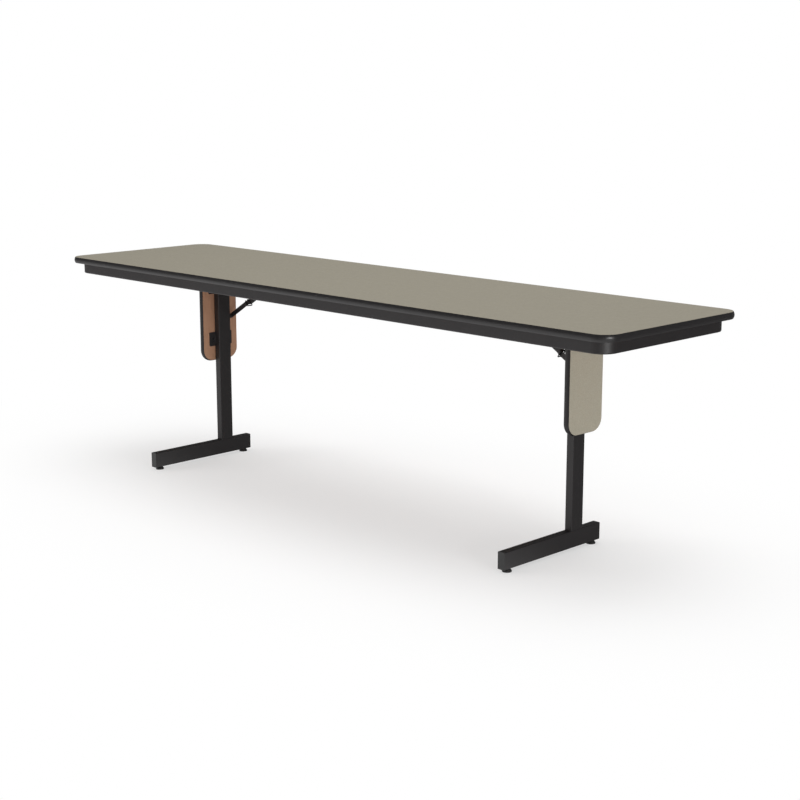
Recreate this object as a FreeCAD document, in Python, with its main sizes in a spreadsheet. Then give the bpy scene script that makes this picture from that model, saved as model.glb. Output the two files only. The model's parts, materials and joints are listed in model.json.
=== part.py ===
"""Folding training table: a long laminate top over a steel apron, on two set-back T legs.

Each leg turns on a rod under the top and folds inward against it. A two-link brace with
a sliding lock ring holds the leg upright, and a laminated panel is screwed to its outer side.

Frame: X runs along the table, Y from the front to the back and Z up. The origin is on the
floor under the middle of the top. All lengths are in millimetres.
"""
import FreeCAD, Part
import Sketcher
import math
import os
import re

# %% Driving dimensions
DIMENSIONS = {
    # Top
    "board_length": 2438.4,
    "board_width": 609.6,
    "table_height": 736.6,
    "board_corner": 50.8,
    "laminate_thickness": 0.8,
    "core_thickness": 19.05,
    "backer_thickness": 0.75,
    # Edge moulding: a crowned lip outside the board and a barb pressed into its groove
    "lip_proud": 3.175,
    "barb_length": 9.5,
    "barb_thickness": 1.6,
    "groove_gap": 0.2,
    # Apron, a rolled steel rail that runs all round under the top
    "apron_height": 36.9,
    "apron_setback": 23.8,
    "apron_corner": 46.0,
    "apron_sheet": 2.0,
    "apron_flange": 16.0,
    "apron_return": 9.0,
    "apron_bend": 3.5,
    # Leg
    "leg_offset": 823.5,
    "leg_setback": 76.2,
    "post_thickness": 25.4,
    "post_depth": 52.4,
    "post_wall": 1.9,
    "tube_bend": 1.9,
    "foot_length": 431.8,
    "foot_height": 52.4,
    "foot_shift": 108.0,
    "foot_wall": 1.9,
    # Foot end caps
    "cap_flange": 1.6,
    "cap_plug": 15.0,
    "cap_wall": 2.0,
    "cap_gap": 0.1,
    # Levelling glides
    "glide_diameter": 28.6,
    "glide_neck_diameter": 19.0,
    "glide_pad": 3.2,
    "glide_height": 10.4,
    "glide_inset": 24.0,
    "glide_travel": 12.0,
    "stem_diameter": 7.9,
    "stem_grip": 12.0,
    # Leg pivot
    "pivot_gap": 4.6,
    "pivot_tube_diameter": 25.4,
    "pivot_tube_wall": 2.0,
    "pivot_tube_length": 330.0,
    "rod_diameter": 12.7,
    "rod_head_diameter": 18.0,
    "rod_head": 2.0,
    "bush_flange": 1.6,
    "bush_insert": 20.0,
    "running_gap": 0.05,
    "face_gap": 0.2,
    # Brackets under the top
    "bracket_plate": 3.0,
    "bracket_bend": 2.5,
    "hinge_base_length": 70.0,
    "hinge_base_width": 40.0,
    "hinge_ear_width": 50.0,
    "hinge_ear_radius": 14.5,
    "brace_base_length": 44.0,
    "brace_base_width": 42.0,
    "brace_ear_width": 32.0,
    "brace_ear_radius": 12.0,
    # Brace
    "brace_drop": 182.0,
    "brace_reach": 298.0,
    "stud_length": 12.7,
    "stud_diameter": 16.0,
    "open_gap": 0.3,
    "bar_depth": 15.9,
    "bar_thickness": 3.2,
    "stud_shank_diameter": 9.5,
    "stud_head_diameter": 14.0,
    "stud_head": 1.0,
    "knee_washer": 1.4,
    "knee_washer_diameter": 15.5,
    "rivet_diameter": 8.0,
    "rivet_head_diameter": 12.5,
    "rivet_head": 2.0,
    "channel_depth": 17.5,
    "channel_width": 10.0,
    "channel_sheet": 2.0,
    "ring_wire": 3.4,
    "ring_seat": 0.1,
    "ring_gap": 2.0,
    "ring_side_gap": 1.0,
    "ring_bend": 3.0,
    "ring_past_knee": 4.0,
    # Leg panel and the two plates that carry it
    "panel_width": 152.4,
    "panel_height": 346.4,
    "panel_gap": 9.3,
    "panel_core": 17.5,
    "panel_low_corner": 38.1,
    "panel_high_corner": 12.7,
    "plate_thickness": 2.0,
    "plate_width": 101.6,
    "plate_height": 50.8,
    "plate_corner": 3.0,
    "plate_upper_drop": 69.5,
    "plate_lower_drop": 261.5,
}

# Sizes and places worked out from the driving dimensions
PLACES = {
    "board_thickness": "laminate_thickness + core_thickness + backer_thickness",
    "half_length": "board_length / 2",
    "half_width": "board_width / 2",
    "groove_middle": "laminate_thickness + core_thickness / 2",
    "lip_crown_radius": "((board_thickness / 2)^2 + lip_proud^2) / (2 * lip_proud)",
    "apron_front": "half_width - apron_setback",
    "apron_end": "half_length - apron_setback",
    "pivot_drop": "pivot_gap + pivot_tube_diameter / 2",
    "pivot_height": "table_height - board_thickness - pivot_drop",
    "leg_length": "pivot_height - glide_height - foot_height",
    "tube_half": "pivot_tube_length / 2",
    "bush_diameter": "pivot_tube_diameter - 2 * pivot_tube_wall - running_gap",
    "bush_bore": "rod_diameter + 2 * running_gap",
    "ear_face": "tube_half + bush_flange + face_gap",
    "rod_half": "ear_face + bracket_plate",
    "foot_middle": "-foot_shift",
    "glide_reach": "foot_length / 2 - glide_inset",
    "bar_front": "post_depth / 2 + stud_length + open_gap",
    "bar_back": "bar_front + bar_thickness",
    "web_front": "bar_back + knee_washer + face_gap",
    "web_back": "web_front + channel_sheet",
    "channel_back": "web_front + channel_width",
    "brace_ear_face": "web_front - face_gap",
    "brace_span": "sqrt(brace_reach^2 + brace_drop^2)",
    "upper_link_length": "(brace_span + brace_reach - brace_drop) / 2",
    "lower_link_length": "(brace_span - brace_reach + brace_drop) / 2",
    "ring_front": "bar_front - rivet_head - ring_side_gap - ring_wire / 2",
    "ring_back": "channel_back + ring_side_gap + ring_wire / 2",
    "ring_high": "channel_depth / 2 + ring_seat + ring_wire / 2",
    "ring_low": "channel_depth / 2 + ring_gap + ring_wire / 2",
    "ring_station": "upper_link_length + ring_past_knee",
    "panel_thickness": "panel_core + laminate_thickness + backer_thickness",
    "panel_inner": "max(post_thickness / 2; pivot_tube_diameter / 2) + plate_thickness",
    "panel_outer": "panel_inner + panel_thickness",
    "panel_top": "pivot_drop - panel_gap",
    "panel_low": "panel_top - panel_height",
    "panel_crown_radius": "((panel_thickness / 2)^2 + lip_proud^2) / (2 * lip_proud)",
}

doc = FreeCAD.newDocument("TrainingTable")
sheet = doc.addObject("Spreadsheet::Sheet", "Dimensions")
for row, (word, number) in enumerate(DIMENSIONS.items(), start=1):
    sheet.set(f"A{row}", word)
    sheet.set(f"B{row}", str(number))
    sheet.setAlias(f"B{row}", word)
for row, (word, formula) in enumerate(PLACES.items(), start=1):
    sheet.set(f"D{row}", word)
    sheet.set(f"E{row}", "=" + formula)
    sheet.setAlias(f"E{row}", word)
doc.recompute()

WORDS = re.compile(r"\b(" + "|".join([*DIMENSIONS, *PLACES]) + r")\b")
# How each origin plane's normal points along its axis: the XZ plane looks towards the front
NORMAL = {"XY_Plane": 1, "XZ_Plane": -1, "YZ_Plane": 1}


# %% Helpers that bind sizes to the sheet
def bound(expression):
    """The expression with each word pointing at its cell."""
    return WORDS.sub(r"Dimensions.\1", expression)


def amount(expression):
    """The expression's present value in millimetres."""
    return float(sheet.evalExpression(expression))


def new_body(label):
    body = doc.addObject("PartDesign::Body", label)
    body.Label = label
    return body


def place(piece, x="0", y="0", z="0", turn=None):
    """Put a piece at x, y, z, turned by an angle about an axis, and bind its place."""
    rotation = FreeCAD.Rotation()
    if turn:
        rotation = FreeCAD.Rotation(FreeCAD.Vector(*turn[0]), turn[1])
    piece.Placement = FreeCAD.Placement(FreeCAD.Vector(amount(x), amount(y), amount(z)), rotation)
    for axis, expression in zip("xyz", (x, y, z)):
        piece.setExpression(f"Placement.Base.{axis}", bound(expression))
    return piece


def new_sketch(body, role, name, offset="0"):
    """A sketch on one of the body's origin planes, moved along that plane's axis."""
    sketch = body.newObject("Sketcher::SketchObject", name)
    plane = next(f for f in body.Origin.OriginFeatures if f.Role == role)
    sketch.AttachmentSupport = (plane, [""])
    sketch.MapMode = "FlatFace"
    if offset != "0":
        shift = f"{NORMAL[role]} * ({offset})"
        sketch.setExpression("AttachmentOffset.Base.z", bound(shift))
    return sketch


def pin(sketch, geometry, point, axis, expression):
    """Fix one coordinate of a sketch point to an expression."""
    kind = "DistanceX" if axis == 0 else "DistanceY"
    number = sketch.addConstraint(Sketcher.Constraint(kind, -1, 1, geometry, point, amount(expression)))
    if expression != "0":
        sketch.setExpression(f"Constraints[{number}]", bound(expression))


def outline(sketch, corners, closed=True):
    """A closed outline or an open path.

    A corner is (u, v), or (u, v, cu, cv) where an arc about cu, cv follows it. Arcs run
    counterclockwise, as the whole outline does.
    """
    points = [FreeCAD.Vector(amount(corner[0]), amount(corner[1])) for corner in corners]
    first = sketch.GeometryCount
    count = len(corners)
    pieces = list(enumerate(corners if closed else corners[:-1]))
    for index, corner in pieces:
        start = points[index]
        end = points[(index + 1) % count]
        if len(corner) == 2:
            sketch.addGeometry(Part.LineSegment(start, end), False)
            continue
        centre = FreeCAD.Vector(amount(corner[2]), amount(corner[3]))
        ring = Part.Circle(centre, FreeCAD.Vector(0, 0, 1), (start - centre).Length)
        angles = [math.atan2(point.y - centre.y, point.x - centre.x) for point in (start, end)]
        if angles[1] <= angles[0]:
            angles[1] += 2 * math.pi
        sketch.addGeometry(Part.ArcOfCircle(ring, *angles), False)
    if not closed:
        pin(sketch, first + count - 2, 2, 0, corners[-1][0])
        pin(sketch, first + count - 2, 2, 1, corners[-1][1])
    for index, corner in pieces:
        if closed or index < count - 2:
            following = first + (index + 1) % count
            sketch.addConstraint(Sketcher.Constraint("Coincident", first + index, 2, following, 1))
        pin(sketch, first + index, 1, 0, corner[0])
        pin(sketch, first + index, 1, 1, corner[1])
        if len(corner) == 4:
            chord = points[(index + 1) % count] - points[index]
            axis = 1 if abs(chord.x) > abs(chord.y) else 0
            pin(sketch, first + index, 3, axis, corner[2 + axis])


def rectangle(sketch, left, low, right, high):
    outline(sketch, [(left, low), (right, low), (right, high), (left, high)])


def rounded_rectangle(sketch, left, low, right, high, low_radius, high_radius=None):
    """A rectangle with round corners, whose outline starts on the low side."""
    top = high_radius or low_radius
    outline(sketch, [
        (f"{left} + {low_radius}", low),
        (f"{right} - {low_radius}", low, f"{right} - {low_radius}", f"{low} + {low_radius}"),
        (right, f"{low} + {low_radius}"),
        (right, f"{high} - {top}", f"{right} - {top}", f"{high} - {top}"),
        (f"{right} - {top}", high),
        (f"{left} + {top}", high, f"{left} + {top}", f"{high} - {top}"),
        (left, f"{high} - {top}"),
        (left, f"{low} + {low_radius}", f"{left} + {low_radius}", f"{low} + {low_radius}"),
    ])


def circle(sketch, u, v, diameter):
    number = sketch.addGeometry(Part.Circle(
        FreeCAD.Vector(amount(u), amount(v)), FreeCAD.Vector(0, 0, 1), amount(diameter) / 2), False)
    pin(sketch, number, 3, 0, u)
    pin(sketch, number, 3, 1, v)
    size = sketch.addConstraint(Sketcher.Constraint("Diameter", number, amount(diameter)))
    sketch.setExpression(f"Constraints[{size}]", bound(diameter))


def polygon(sketch, u, v, across, sides):
    """A regular polygon, upright on a flat side, of the given width across its flats."""
    radius = f"{across} / 2 / cos(180 / {sides})"
    corners = []
    for index in range(sides):
        angle = 360 / sides * (index + 0.5) - 90
        corners.append((f"{u} + {radius} * cos({angle})", f"{v} + {radius} * sin({angle})"))
    outline(sketch, corners)


def plane_of(sketch):
    return sketch.AttachmentSupport[0][0].Role


def pad(body, sketch, length, towards=1):
    """Grow a sketch along the positive or negative direction of its axis."""
    feature = body.newObject("PartDesign::Pad", "Pad")
    feature.Profile = sketch
    feature.setExpression("Length", bound(length))
    feature.Reversed = towards * NORMAL[plane_of(sketch)] < 0
    doc.recompute()
    return feature


def pocket(body, sketch, length, towards=1):
    """Cut a sketch into the body along its axis, and see that material went."""
    before = body.Tip.Shape.Volume
    feature = body.newObject("PartDesign::Pocket", "Pocket")
    feature.Profile = sketch
    feature.setExpression("Length", bound(length))
    feature.Reversed = towards * NORMAL[plane_of(sketch)] > 0
    doc.recompute()
    if feature.Shape.Volume >= before:
        raise RuntimeError(f"{body.Label}: a pocket cut nothing")
    return feature


def revolve(body, sketch):
    """Turn a sketch once round its upright axis."""
    feature = body.newObject("PartDesign::Revolution", "Revolution")
    feature.Profile = sketch
    feature.ReferenceAxis = (sketch, ["V_Axis"])
    feature.Angle = 360
    doc.recompute()
    return feature


def sweep(body, profile, spine):
    """Run a profile along a spine."""
    feature = body.newObject("PartDesign::AdditivePipe", "Sweep")
    feature.Profile = profile
    feature.Spine = (spine, [f"Edge{number + 1}" for number in range(len(spine.Shape.Edges))])
    doc.recompute()
    return feature


def round_edges(body, radius, chosen):
    """Fillet the edges whose middle point the test chooses."""
    tip = body.Tip
    names = []
    for number, edge in enumerate(tip.Shape.Edges, start=1):
        middle = edge.valueAt((edge.FirstParameter + edge.LastParameter) / 2)
        if chosen(middle, edge):
            names.append(f"Edge{number}")
    feature = body.newObject("PartDesign::Fillet", "Fillet")
    feature.Base = (tip, names)
    feature.setExpression("Radius", bound(radius))
    doc.recompute()
    return feature


def near(value, expression):
    return abs(value - amount(expression)) < amount("running_gap")


def group(label, members):
    """Identical pieces that share one node, each its own solid."""
    compound = doc.addObject("Part::Compound", label)
    compound.Label = label
    compound.Links = members
    return compound


SIDES = {"left": -1, "right": 1}
ENDS = {"front": -1, "rear": 1}

# %% Top: laminate, core, backer, edge moulding and apron
def sheet_layer(label, upper, thickness):
    """One layer of the top, whose upper face lies at a depth below the table's surface."""
    body = place(new_body(label), z="table_height")
    sketch = new_sketch(body, "XY_Plane", "Outline", f"-({upper})")
    rounded_rectangle(sketch, "-half_length", "-half_width", "half_length", "half_width", "board_corner")
    pad(body, sketch, thickness, -1)
    return body


def top_core():
    body = sheet_layer("top_core", "laminate_thickness", "core_thickness")
    groove = new_sketch(body, "XY_Plane", "Groove", "-(groove_middle - barb_thickness / 2 - groove_gap / 2)")
    rim = "half_length + lip_proud"
    side = "half_width + lip_proud"
    rounded_rectangle(groove, f"-({rim})", f"-({side})", rim, side, "board_corner + lip_proud")
    rib = "barb_length + groove_gap"
    rounded_rectangle(groove, f"-half_length + {rib}", f"-half_width + {rib}", f"half_length - ({rib})",
                      f"half_width - ({rib})", "board_corner - barb_length - groove_gap")
    pocket(body, groove, "barb_thickness + groove_gap", -1)
    return body


def edge_moulding():
    body = place(new_body("top_edge_moulding"), z="table_height")
    barb = new_sketch(body, "XY_Plane", "Barb", "-(groove_middle - barb_thickness / 2)")
    rounded_rectangle(barb, "-half_length", "-half_width", "half_length", "half_width", "board_corner")
    rounded_rectangle(barb, "-half_length + barb_length", "-half_width + barb_length",
                      "half_length - barb_length", "half_width - barb_length", "board_corner - barb_length")
    pad(body, barb, "barb_thickness", -1)
    spine = new_sketch(body, "XY_Plane", "Lip_path")
    rounded_rectangle(spine, "-half_length", "-half_width", "half_length", "half_width", "board_corner")
    profile = new_sketch(body, "YZ_Plane", "Lip_profile", "-half_length + board_corner")
    outline(profile, [
        ("-half_width", "0", "-half_width + lip_crown_radius - lip_proud", "-board_thickness / 2"),
        ("-half_width", "-board_thickness"),
    ])
    doc.recompute()
    sweep(body, profile, spine)
    return body


def apron():
    body = place(new_body("apron"), z="table_height - board_thickness")
    spine = new_sketch(body, "XY_Plane", "Apron_path")
    rounded_rectangle(spine, "-apron_end", "-apron_front", "apron_end", "apron_front", "apron_corner")
    profile = new_sketch(body, "YZ_Plane", "Apron_profile", "-apron_end + apron_corner")
    face = "-apron_front"
    outline(profile, [
        (face, "0"),
        (face, "-apron_height + apron_bend", f"{face} + apron_bend", "-apron_height + apron_bend"),
        (f"{face} + apron_bend", "-apron_height"),
        (f"{face} + apron_return", "-apron_height"),
        (f"{face} + apron_return", "-apron_height + apron_sheet"),
        (f"{face} + apron_sheet", "-apron_height + apron_sheet"),
        (f"{face} + apron_sheet", "-apron_sheet"),
        (f"{face} + apron_flange", "-apron_sheet"),
        (f"{face} + apron_flange", "0"),
    ])
    doc.recompute()
    sweep(body, profile, spine)
    return body


def table_top():
    laminate = sheet_layer("top_laminate", "0", "laminate_thickness")
    backer = sheet_layer("top_backer", "laminate_thickness + core_thickness", "backer_thickness")
    return [laminate, top_core(), backer, edge_moulding(), apron()]


# %% Brackets under the top, with the rods and rivets that they hold
def bent_bracket(label, facing, face, length, width, ear_width, ear_radius, bore):
    """An angle bracket: a base against the top, and an ear down past the pivot.

    The ear's working face is at y = face, its outer face is one plate further towards facing,
    and the base runs back from there. The pivot is the local X and Z origin.
    """
    body = new_body(label)
    outer = f"{face} + {facing} * bracket_plate"
    ear = new_sketch(body, "XZ_Plane", "Ear", face)
    outline(ear, [
        (f"-{ear_radius}", "0", "0", "0"),
        (ear_radius, "0"),
        (f"{ear_width} / 2", "pivot_drop"),
        (f"-{ear_width} / 2", "pivot_drop"),
    ])
    pad(body, ear, "bracket_plate", facing)
    base = new_sketch(body, "XY_Plane", "Base", "pivot_drop")
    edges = [outer, f"{outer} - {facing} * {width}"]
    low, high = edges if facing < 0 else edges[::-1]
    outline(base, [(f"-{length} / 2", low), (f"{length} / 2", low), (f"{length} / 2", high),
                   (f"-{length} / 2", high)])
    pad(body, base, "bracket_plate", -1)
    round_edges(body, "bracket_bend", lambda middle, edge: near(middle.y, outer)
                and near(middle.z, "pivot_drop"))
    hole = new_sketch(body, "XZ_Plane", "Bore", face)
    circle(hole, "0", "0", bore)
    pocket(body, hole, "bracket_plate", facing)
    return body


def turned_pin(label, steps):
    """A pin turned about Y, from (diameter, from, to) steps along it that follow one another."""
    body = new_body(label)
    sketch = new_sketch(body, "XY_Plane", "Profile")
    corners = [("0", steps[0][1])]
    for diameter, start, end in steps:
        corners += [(f"({diameter}) / 2", start), (f"({diameter}) / 2", end)]
    corners.append(("0", steps[-1][2]))
    outline(sketch, corners)
    revolve(body, sketch)
    return body


def hinge_fittings(name, side):
    """The two pivot brackets of one leg and the rod that they hold."""
    x = f"{side} * leg_offset"
    nodes = []
    for end_name, facing in ENDS.items():
        bracket = bent_bracket(
            f"{name}_{end_name}_hinge_bracket", facing, f"{facing} * ear_face", "hinge_base_length",
            "hinge_base_width", "hinge_ear_width", "hinge_ear_radius", "rod_diameter")
        nodes.append(place(bracket, x, "leg_setback", "pivot_height"))
    rod = turned_pin(f"{name}_hinge_rod", [
        ("rod_head_diameter", "-rod_half - rod_head", "-rod_half"),
        ("rod_diameter", "-rod_half", "rod_half"),
        ("rod_head_diameter", "rod_half", "rod_half + rod_head"),
    ])
    nodes.append(place(rod, x, "leg_setback", "pivot_height"))
    return nodes


def brace_fittings(name, side):
    """The bracket that carries one brace and the rivet that its upper link turns on."""
    x = f"{side} * (leg_offset - brace_reach)"
    bracket = bent_bracket(
        f"{name}_brace_bracket", -1, "brace_ear_face", "brace_base_length", "brace_base_width",
        "brace_ear_width", "brace_ear_radius", "rivet_diameter")
    front = "brace_ear_face - bracket_plate"
    rivet = turned_pin(f"{name}_brace_rivet", [
        ("rivet_head_diameter", f"{front} - rivet_head", front),
        ("rivet_diameter", front, "web_back + face_gap"),
        ("rivet_head_diameter", "web_back + face_gap", "web_back + face_gap + rivet_head"),
    ])
    return [place(piece, x, "leg_setback", "pivot_height") for piece in (bracket, rivet)]


# %% Leg: post, pivot tube, bushes, foot, caps and glides, in a frame at the pivot
def hollow_outline(sketch, half_u, low, high, wall):
    """The section of a rectangular tube with round corners."""
    rounded_rectangle(sketch, f"-{half_u}", low, half_u, high, "tube_bend")
    rectangle(sketch, f"-{half_u} + {wall}", f"{low} + {wall}", f"{half_u} - {wall}", f"{high} - {wall}")


def post(name):
    body = new_body(f"{name}_post")
    section = new_sketch(body, "XY_Plane", "Section", "-leg_length")
    hollow_outline(section, "post_thickness / 2", "-post_depth / 2", "post_depth / 2", "post_wall")
    pad(body, section, "leg_length", 1)
    cope = new_sketch(body, "XZ_Plane", "Cope", "-post_depth")
    circle(cope, "0", "0", "pivot_tube_diameter")
    pocket(body, cope, "2 * post_depth", 1)
    return body


def pivot_tube(name):
    body = new_body(f"{name}_pivot_tube")
    section = new_sketch(body, "XZ_Plane", "Section", "-tube_half")
    circle(section, "0", "0", "pivot_tube_diameter")
    circle(section, "0", "0", "pivot_tube_diameter - 2 * pivot_tube_wall")
    pad(body, section, "pivot_tube_length", 1)
    return body


def bush(name, end_name, end):
    """A flanged bush that sits in one end of the pivot tube and turns on the rod."""
    body = new_body(f"{name}_{end_name}_bush")
    sketch = new_sketch(body, "XY_Plane", "Profile")
    bore = "bush_bore / 2"
    sleeve = "bush_diameter / 2"
    collar = "pivot_tube_diameter / 2"
    inner = f"{end} * (tube_half - bush_insert)"
    mouth = f"{end} * tube_half"
    outer = f"{end} * (tube_half + bush_flange)"
    corners = [(bore, inner), (sleeve, inner), (sleeve, mouth),
               (collar, mouth), (collar, outer), (bore, outer)]
    outline(sketch, corners if end > 0 else corners[::-1])
    revolve(body, sketch)
    return body


def foot(name):
    body = new_body(f"{name}_foot")
    section = new_sketch(body, "XZ_Plane", "Section", "foot_middle - foot_length / 2")
    hollow_outline(section, "post_thickness / 2", "-leg_length - foot_height", "-leg_length", "foot_wall")
    pad(body, section, "foot_length", 1)
    holes = new_sketch(body, "XY_Plane", "Glide_holes", "-leg_length - foot_height")
    for end in ENDS.values():
        circle(holes, "0", f"foot_middle + {end} * glide_reach", "stem_diameter + face_gap")
    pocket(body, holes, "foot_wall", 1)
    return body


def foot_cap(name, end_name, end):
    """A push-in plastic cap: a flange over the tube's end and a hollow plug inside it."""
    body = new_body(f"{name}_{end_name}_foot_cap")
    mouth = f"foot_middle + {end} * foot_length / 2"
    low = "-leg_length - foot_height"
    flange = new_sketch(body, "XZ_Plane", "Flange", mouth)
    rounded_rectangle(flange, "-post_thickness / 2", low, "post_thickness / 2", "-leg_length", "tube_bend")
    pad(body, flange, "cap_flange", end)
    wall = "foot_wall + cap_gap"
    plug = new_sketch(body, "XZ_Plane", "Plug", mouth)
    for inset in (wall, f"{wall} + cap_wall"):
        rectangle(plug, f"-post_thickness / 2 + {inset}", f"{low} + {inset}",
                  f"post_thickness / 2 - ({inset})", f"-leg_length - ({inset})")
    pad(body, plug, "cap_plug", -end)
    return body


def glide(name, side, end_name, end):
    """A flared levelling glide: a floor pad, a tapered neck and a stem up into the foot."""
    body = new_body(f"{name}_{end_name}_glide")
    sketch = new_sketch(body, "XZ_Plane", "Profile")
    pad_radius = "glide_diameter / 2"
    collar = "glide_height - open_gap"
    stem = "stem_diameter / 2"
    tip = f"{collar} + glide_travel + stem_grip"
    outline(sketch, [
        ("0", "0"), (pad_radius, "0"), (pad_radius, "glide_pad"), ("glide_neck_diameter / 2", collar),
        (stem, collar), (stem, tip), ("0", tip),
    ])
    revolve(body, sketch)
    y = f"leg_setback + foot_middle + {end} * glide_reach"
    return place(body, f"{side} * leg_offset", y, "0")


def brace_stud(name):
    """The shouldered stud welded to the post's back, which the brace's lower link turns on."""
    back = "post_depth / 2"
    head = "bar_back + face_gap"
    return turned_pin(f"{name}_brace_stud", [
        ("stud_diameter", back, f"{back} + stud_length"),
        ("stud_shank_diameter", f"{back} + stud_length", head),
        ("stud_head_diameter", head, f"{head} + stud_head"),
    ])


# %% Leg panel: two welded plates, and a laminated board with its own edge moulding
def across(side, inner, outer):
    """The near and far X of a layer, in rising order on either side of the table."""
    near_x, far_x = f"{side} * ({inner})", f"{side} * ({outer})"
    return (near_x, far_x) if side > 0 else (far_x, near_x)


def panel_outline(sketch, inset="0"):
    half = f"(panel_width / 2 - ({inset}))"
    rounded_rectangle(sketch, f"-{half}", f"panel_low + {inset}", half, f"panel_top - ({inset})",
                      f"panel_low_corner - ({inset})", f"panel_high_corner - ({inset})")


def panel_layer(label, side, inner, thickness):
    body = new_body(label)
    sketch = new_sketch(body, "YZ_Plane", "Outline", f"{side} * ({inner})")
    panel_outline(sketch)
    pad(body, sketch, thickness, side)
    return body


def panel_core(label, side, inner):
    """The panel's core, with a groove round its edge and pilot holes from the plates."""
    body = panel_layer(label, side, inner, "panel_core")
    half = "panel_width / 2 + lip_proud"
    groove = new_sketch(body, "YZ_Plane", "Groove",
                        f"{side} * ({inner} + panel_core / 2 - barb_thickness / 2 - groove_gap / 2)")
    rounded_rectangle(groove, f"-({half})", "panel_low - lip_proud", half, "panel_top + lip_proud",
                      "panel_low_corner + lip_proud", "panel_high_corner + lip_proud")
    panel_outline(groove, "barb_length + groove_gap")
    pocket(body, groove, "barb_thickness + groove_gap", side)
    return body


def panel_edge(name, side):
    body = new_body(f"{name}_panel_edge")
    low_x, high_x = across(side, "panel_inner", "panel_outer")
    middle = "panel_inner + backer_thickness + panel_core / 2"
    barb = new_sketch(body, "YZ_Plane", "Barb", f"{side} * ({middle} - barb_thickness / 2)")
    panel_outline(barb)
    panel_outline(barb, "barb_length")
    pad(body, barb, "barb_thickness", side)
    spine = new_sketch(body, "YZ_Plane", "Lip_path")
    panel_outline(spine)
    profile = new_sketch(body, "XZ_Plane", "Lip_profile", "-panel_width / 2 + panel_low_corner")
    outline(profile, [
        (low_x, "panel_low", f"({low_x} + {high_x}) / 2", "panel_low - lip_proud + panel_crown_radius"),
        (high_x, "panel_low"),
    ])
    doc.recompute()
    sweep(body, profile, spine)
    return body


def panel_plate(label, side, drop):
    """A plate welded across the post, which the panel is screwed to."""
    body = new_body(label)
    sketch = new_sketch(body, "YZ_Plane", "Outline", f"{side} * post_thickness / 2")
    half, low, high = "plate_width / 2", f"-{drop} - plate_height / 2", f"-{drop} + plate_height / 2"
    outline(sketch, [
        (f"-{half} + plate_corner", low), (f"{half} - plate_corner", low),
        (half, f"{low} + plate_corner"), (half, f"{high} - plate_corner"),
        (f"{half} - plate_corner", high), (f"-{half} + plate_corner", high),
        (f"-{half}", f"{high} - plate_corner"), (f"-{half}", f"{low} + plate_corner"),
    ])
    pad(body, sketch, "panel_inner - post_thickness / 2", side)
    return body


def panel(name, side):
    core_x = "panel_inner + backer_thickness"
    core = panel_core(f"{name}_panel_core", side, core_x)
    backer = panel_layer(f"{name}_panel_backer", side, "panel_inner", "backer_thickness")
    face = panel_layer(f"{name}_panel_laminate", side, f"{core_x} + panel_core", "laminate_thickness")
    plates = [panel_plate(f"{name}_{level}_panel_plate", side, f"plate_{level}_drop")
              for level in ("upper", "lower")]
    return [core, backer, face, panel_edge(name, side), *plates]


def leg(name, side):
    """Everything that turns with one leg, and its two glides."""
    pieces = [post(name), pivot_tube(name), foot(name)]
    bushes = [bush(name, end_name, end) for end_name, end in ENDS.items()]
    pieces.append(group(f"{name}_pivot_bushes", bushes))
    pieces += [foot_cap(name, end_name, end) for end_name, end in ENDS.items()]
    pieces += panel(name, side)
    x = f"{side} * leg_offset"
    for piece in pieces:
        place(piece, x, "leg_setback", "pivot_height")
    stud = place(brace_stud(name), x, "leg_setback", "pivot_height - brace_drop")
    glides = [glide(name, side, end_name, end) for end_name, end in ENDS.items()]
    return [*pieces, stud, *glides]


# %% Brace: two links and the lock ring, in frames that run along the upper link
def link_outline(sketch, length, depth):
    """A bar with round ends, from the sketch's origin to its length."""
    half = f"{depth} / 2"
    outline(sketch, [
        ("0", f"-{half}"), (length, f"-{half}", length, "0"), (length, half), ("0", half, "0", "0"),
    ])


def upper_link(name):
    """A channel with round ends, from the bracket's rivet to the knee."""
    body = new_body(f"{name}_upper_link")
    blank = new_sketch(body, "XZ_Plane", "Outline", "web_front")
    link_outline(blank, "upper_link_length", "channel_depth")
    pad(body, blank, "channel_width", 1)
    inside = new_sketch(body, "XZ_Plane", "Inside", "web_back")
    half = "channel_depth / 2"
    outline(inside, [
        ("-channel_depth", f"-{half} + channel_sheet"),
        ("upper_link_length + channel_depth", f"-{half} + channel_sheet"),
        ("upper_link_length + channel_depth", f"{half} - channel_sheet"),
        ("-channel_depth", f"{half} - channel_sheet"),
    ])
    pocket(body, inside, "channel_width - channel_sheet", 1)
    holes = new_sketch(body, "XZ_Plane", "Rivet_holes", "web_front")
    circle(holes, "0", "0", "rivet_diameter + 2 * running_gap")
    circle(holes, "upper_link_length", "0", "rivet_diameter")
    pocket(body, holes, "channel_sheet", 1)
    return body


def lower_link(name):
    """A flat bar with round ends, from the knee to the stud on the post."""
    body = new_body(f"{name}_lower_link")
    sketch = new_sketch(body, "XZ_Plane", "Outline", "bar_front")
    link_outline(sketch, "lower_link_length", "bar_depth")
    circle(sketch, "0", "0", "rivet_diameter")
    circle(sketch, "lower_link_length", "0", "stud_shank_diameter + 2 * running_gap")
    pad(body, sketch, "bar_thickness", 1)
    return body


def knee_rivet(name):
    """The knee's rivet in two halves: the front one stays in the bar, the rear one in the channel."""
    front = turned_pin(f"{name}_knee_rivet_front", [
        ("rivet_head_diameter", "bar_front - rivet_head", "bar_front"),
        ("rivet_diameter", "bar_front", "bar_back"),
    ])
    rear = turned_pin(f"{name}_knee_rivet_rear", [
        ("knee_washer_diameter", "bar_back + open_gap", "web_front"),
        ("rivet_diameter", "web_front", "web_back"),
        ("rivet_head_diameter", "web_back", "web_back + rivet_head"),
    ])
    return front, rear


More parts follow.
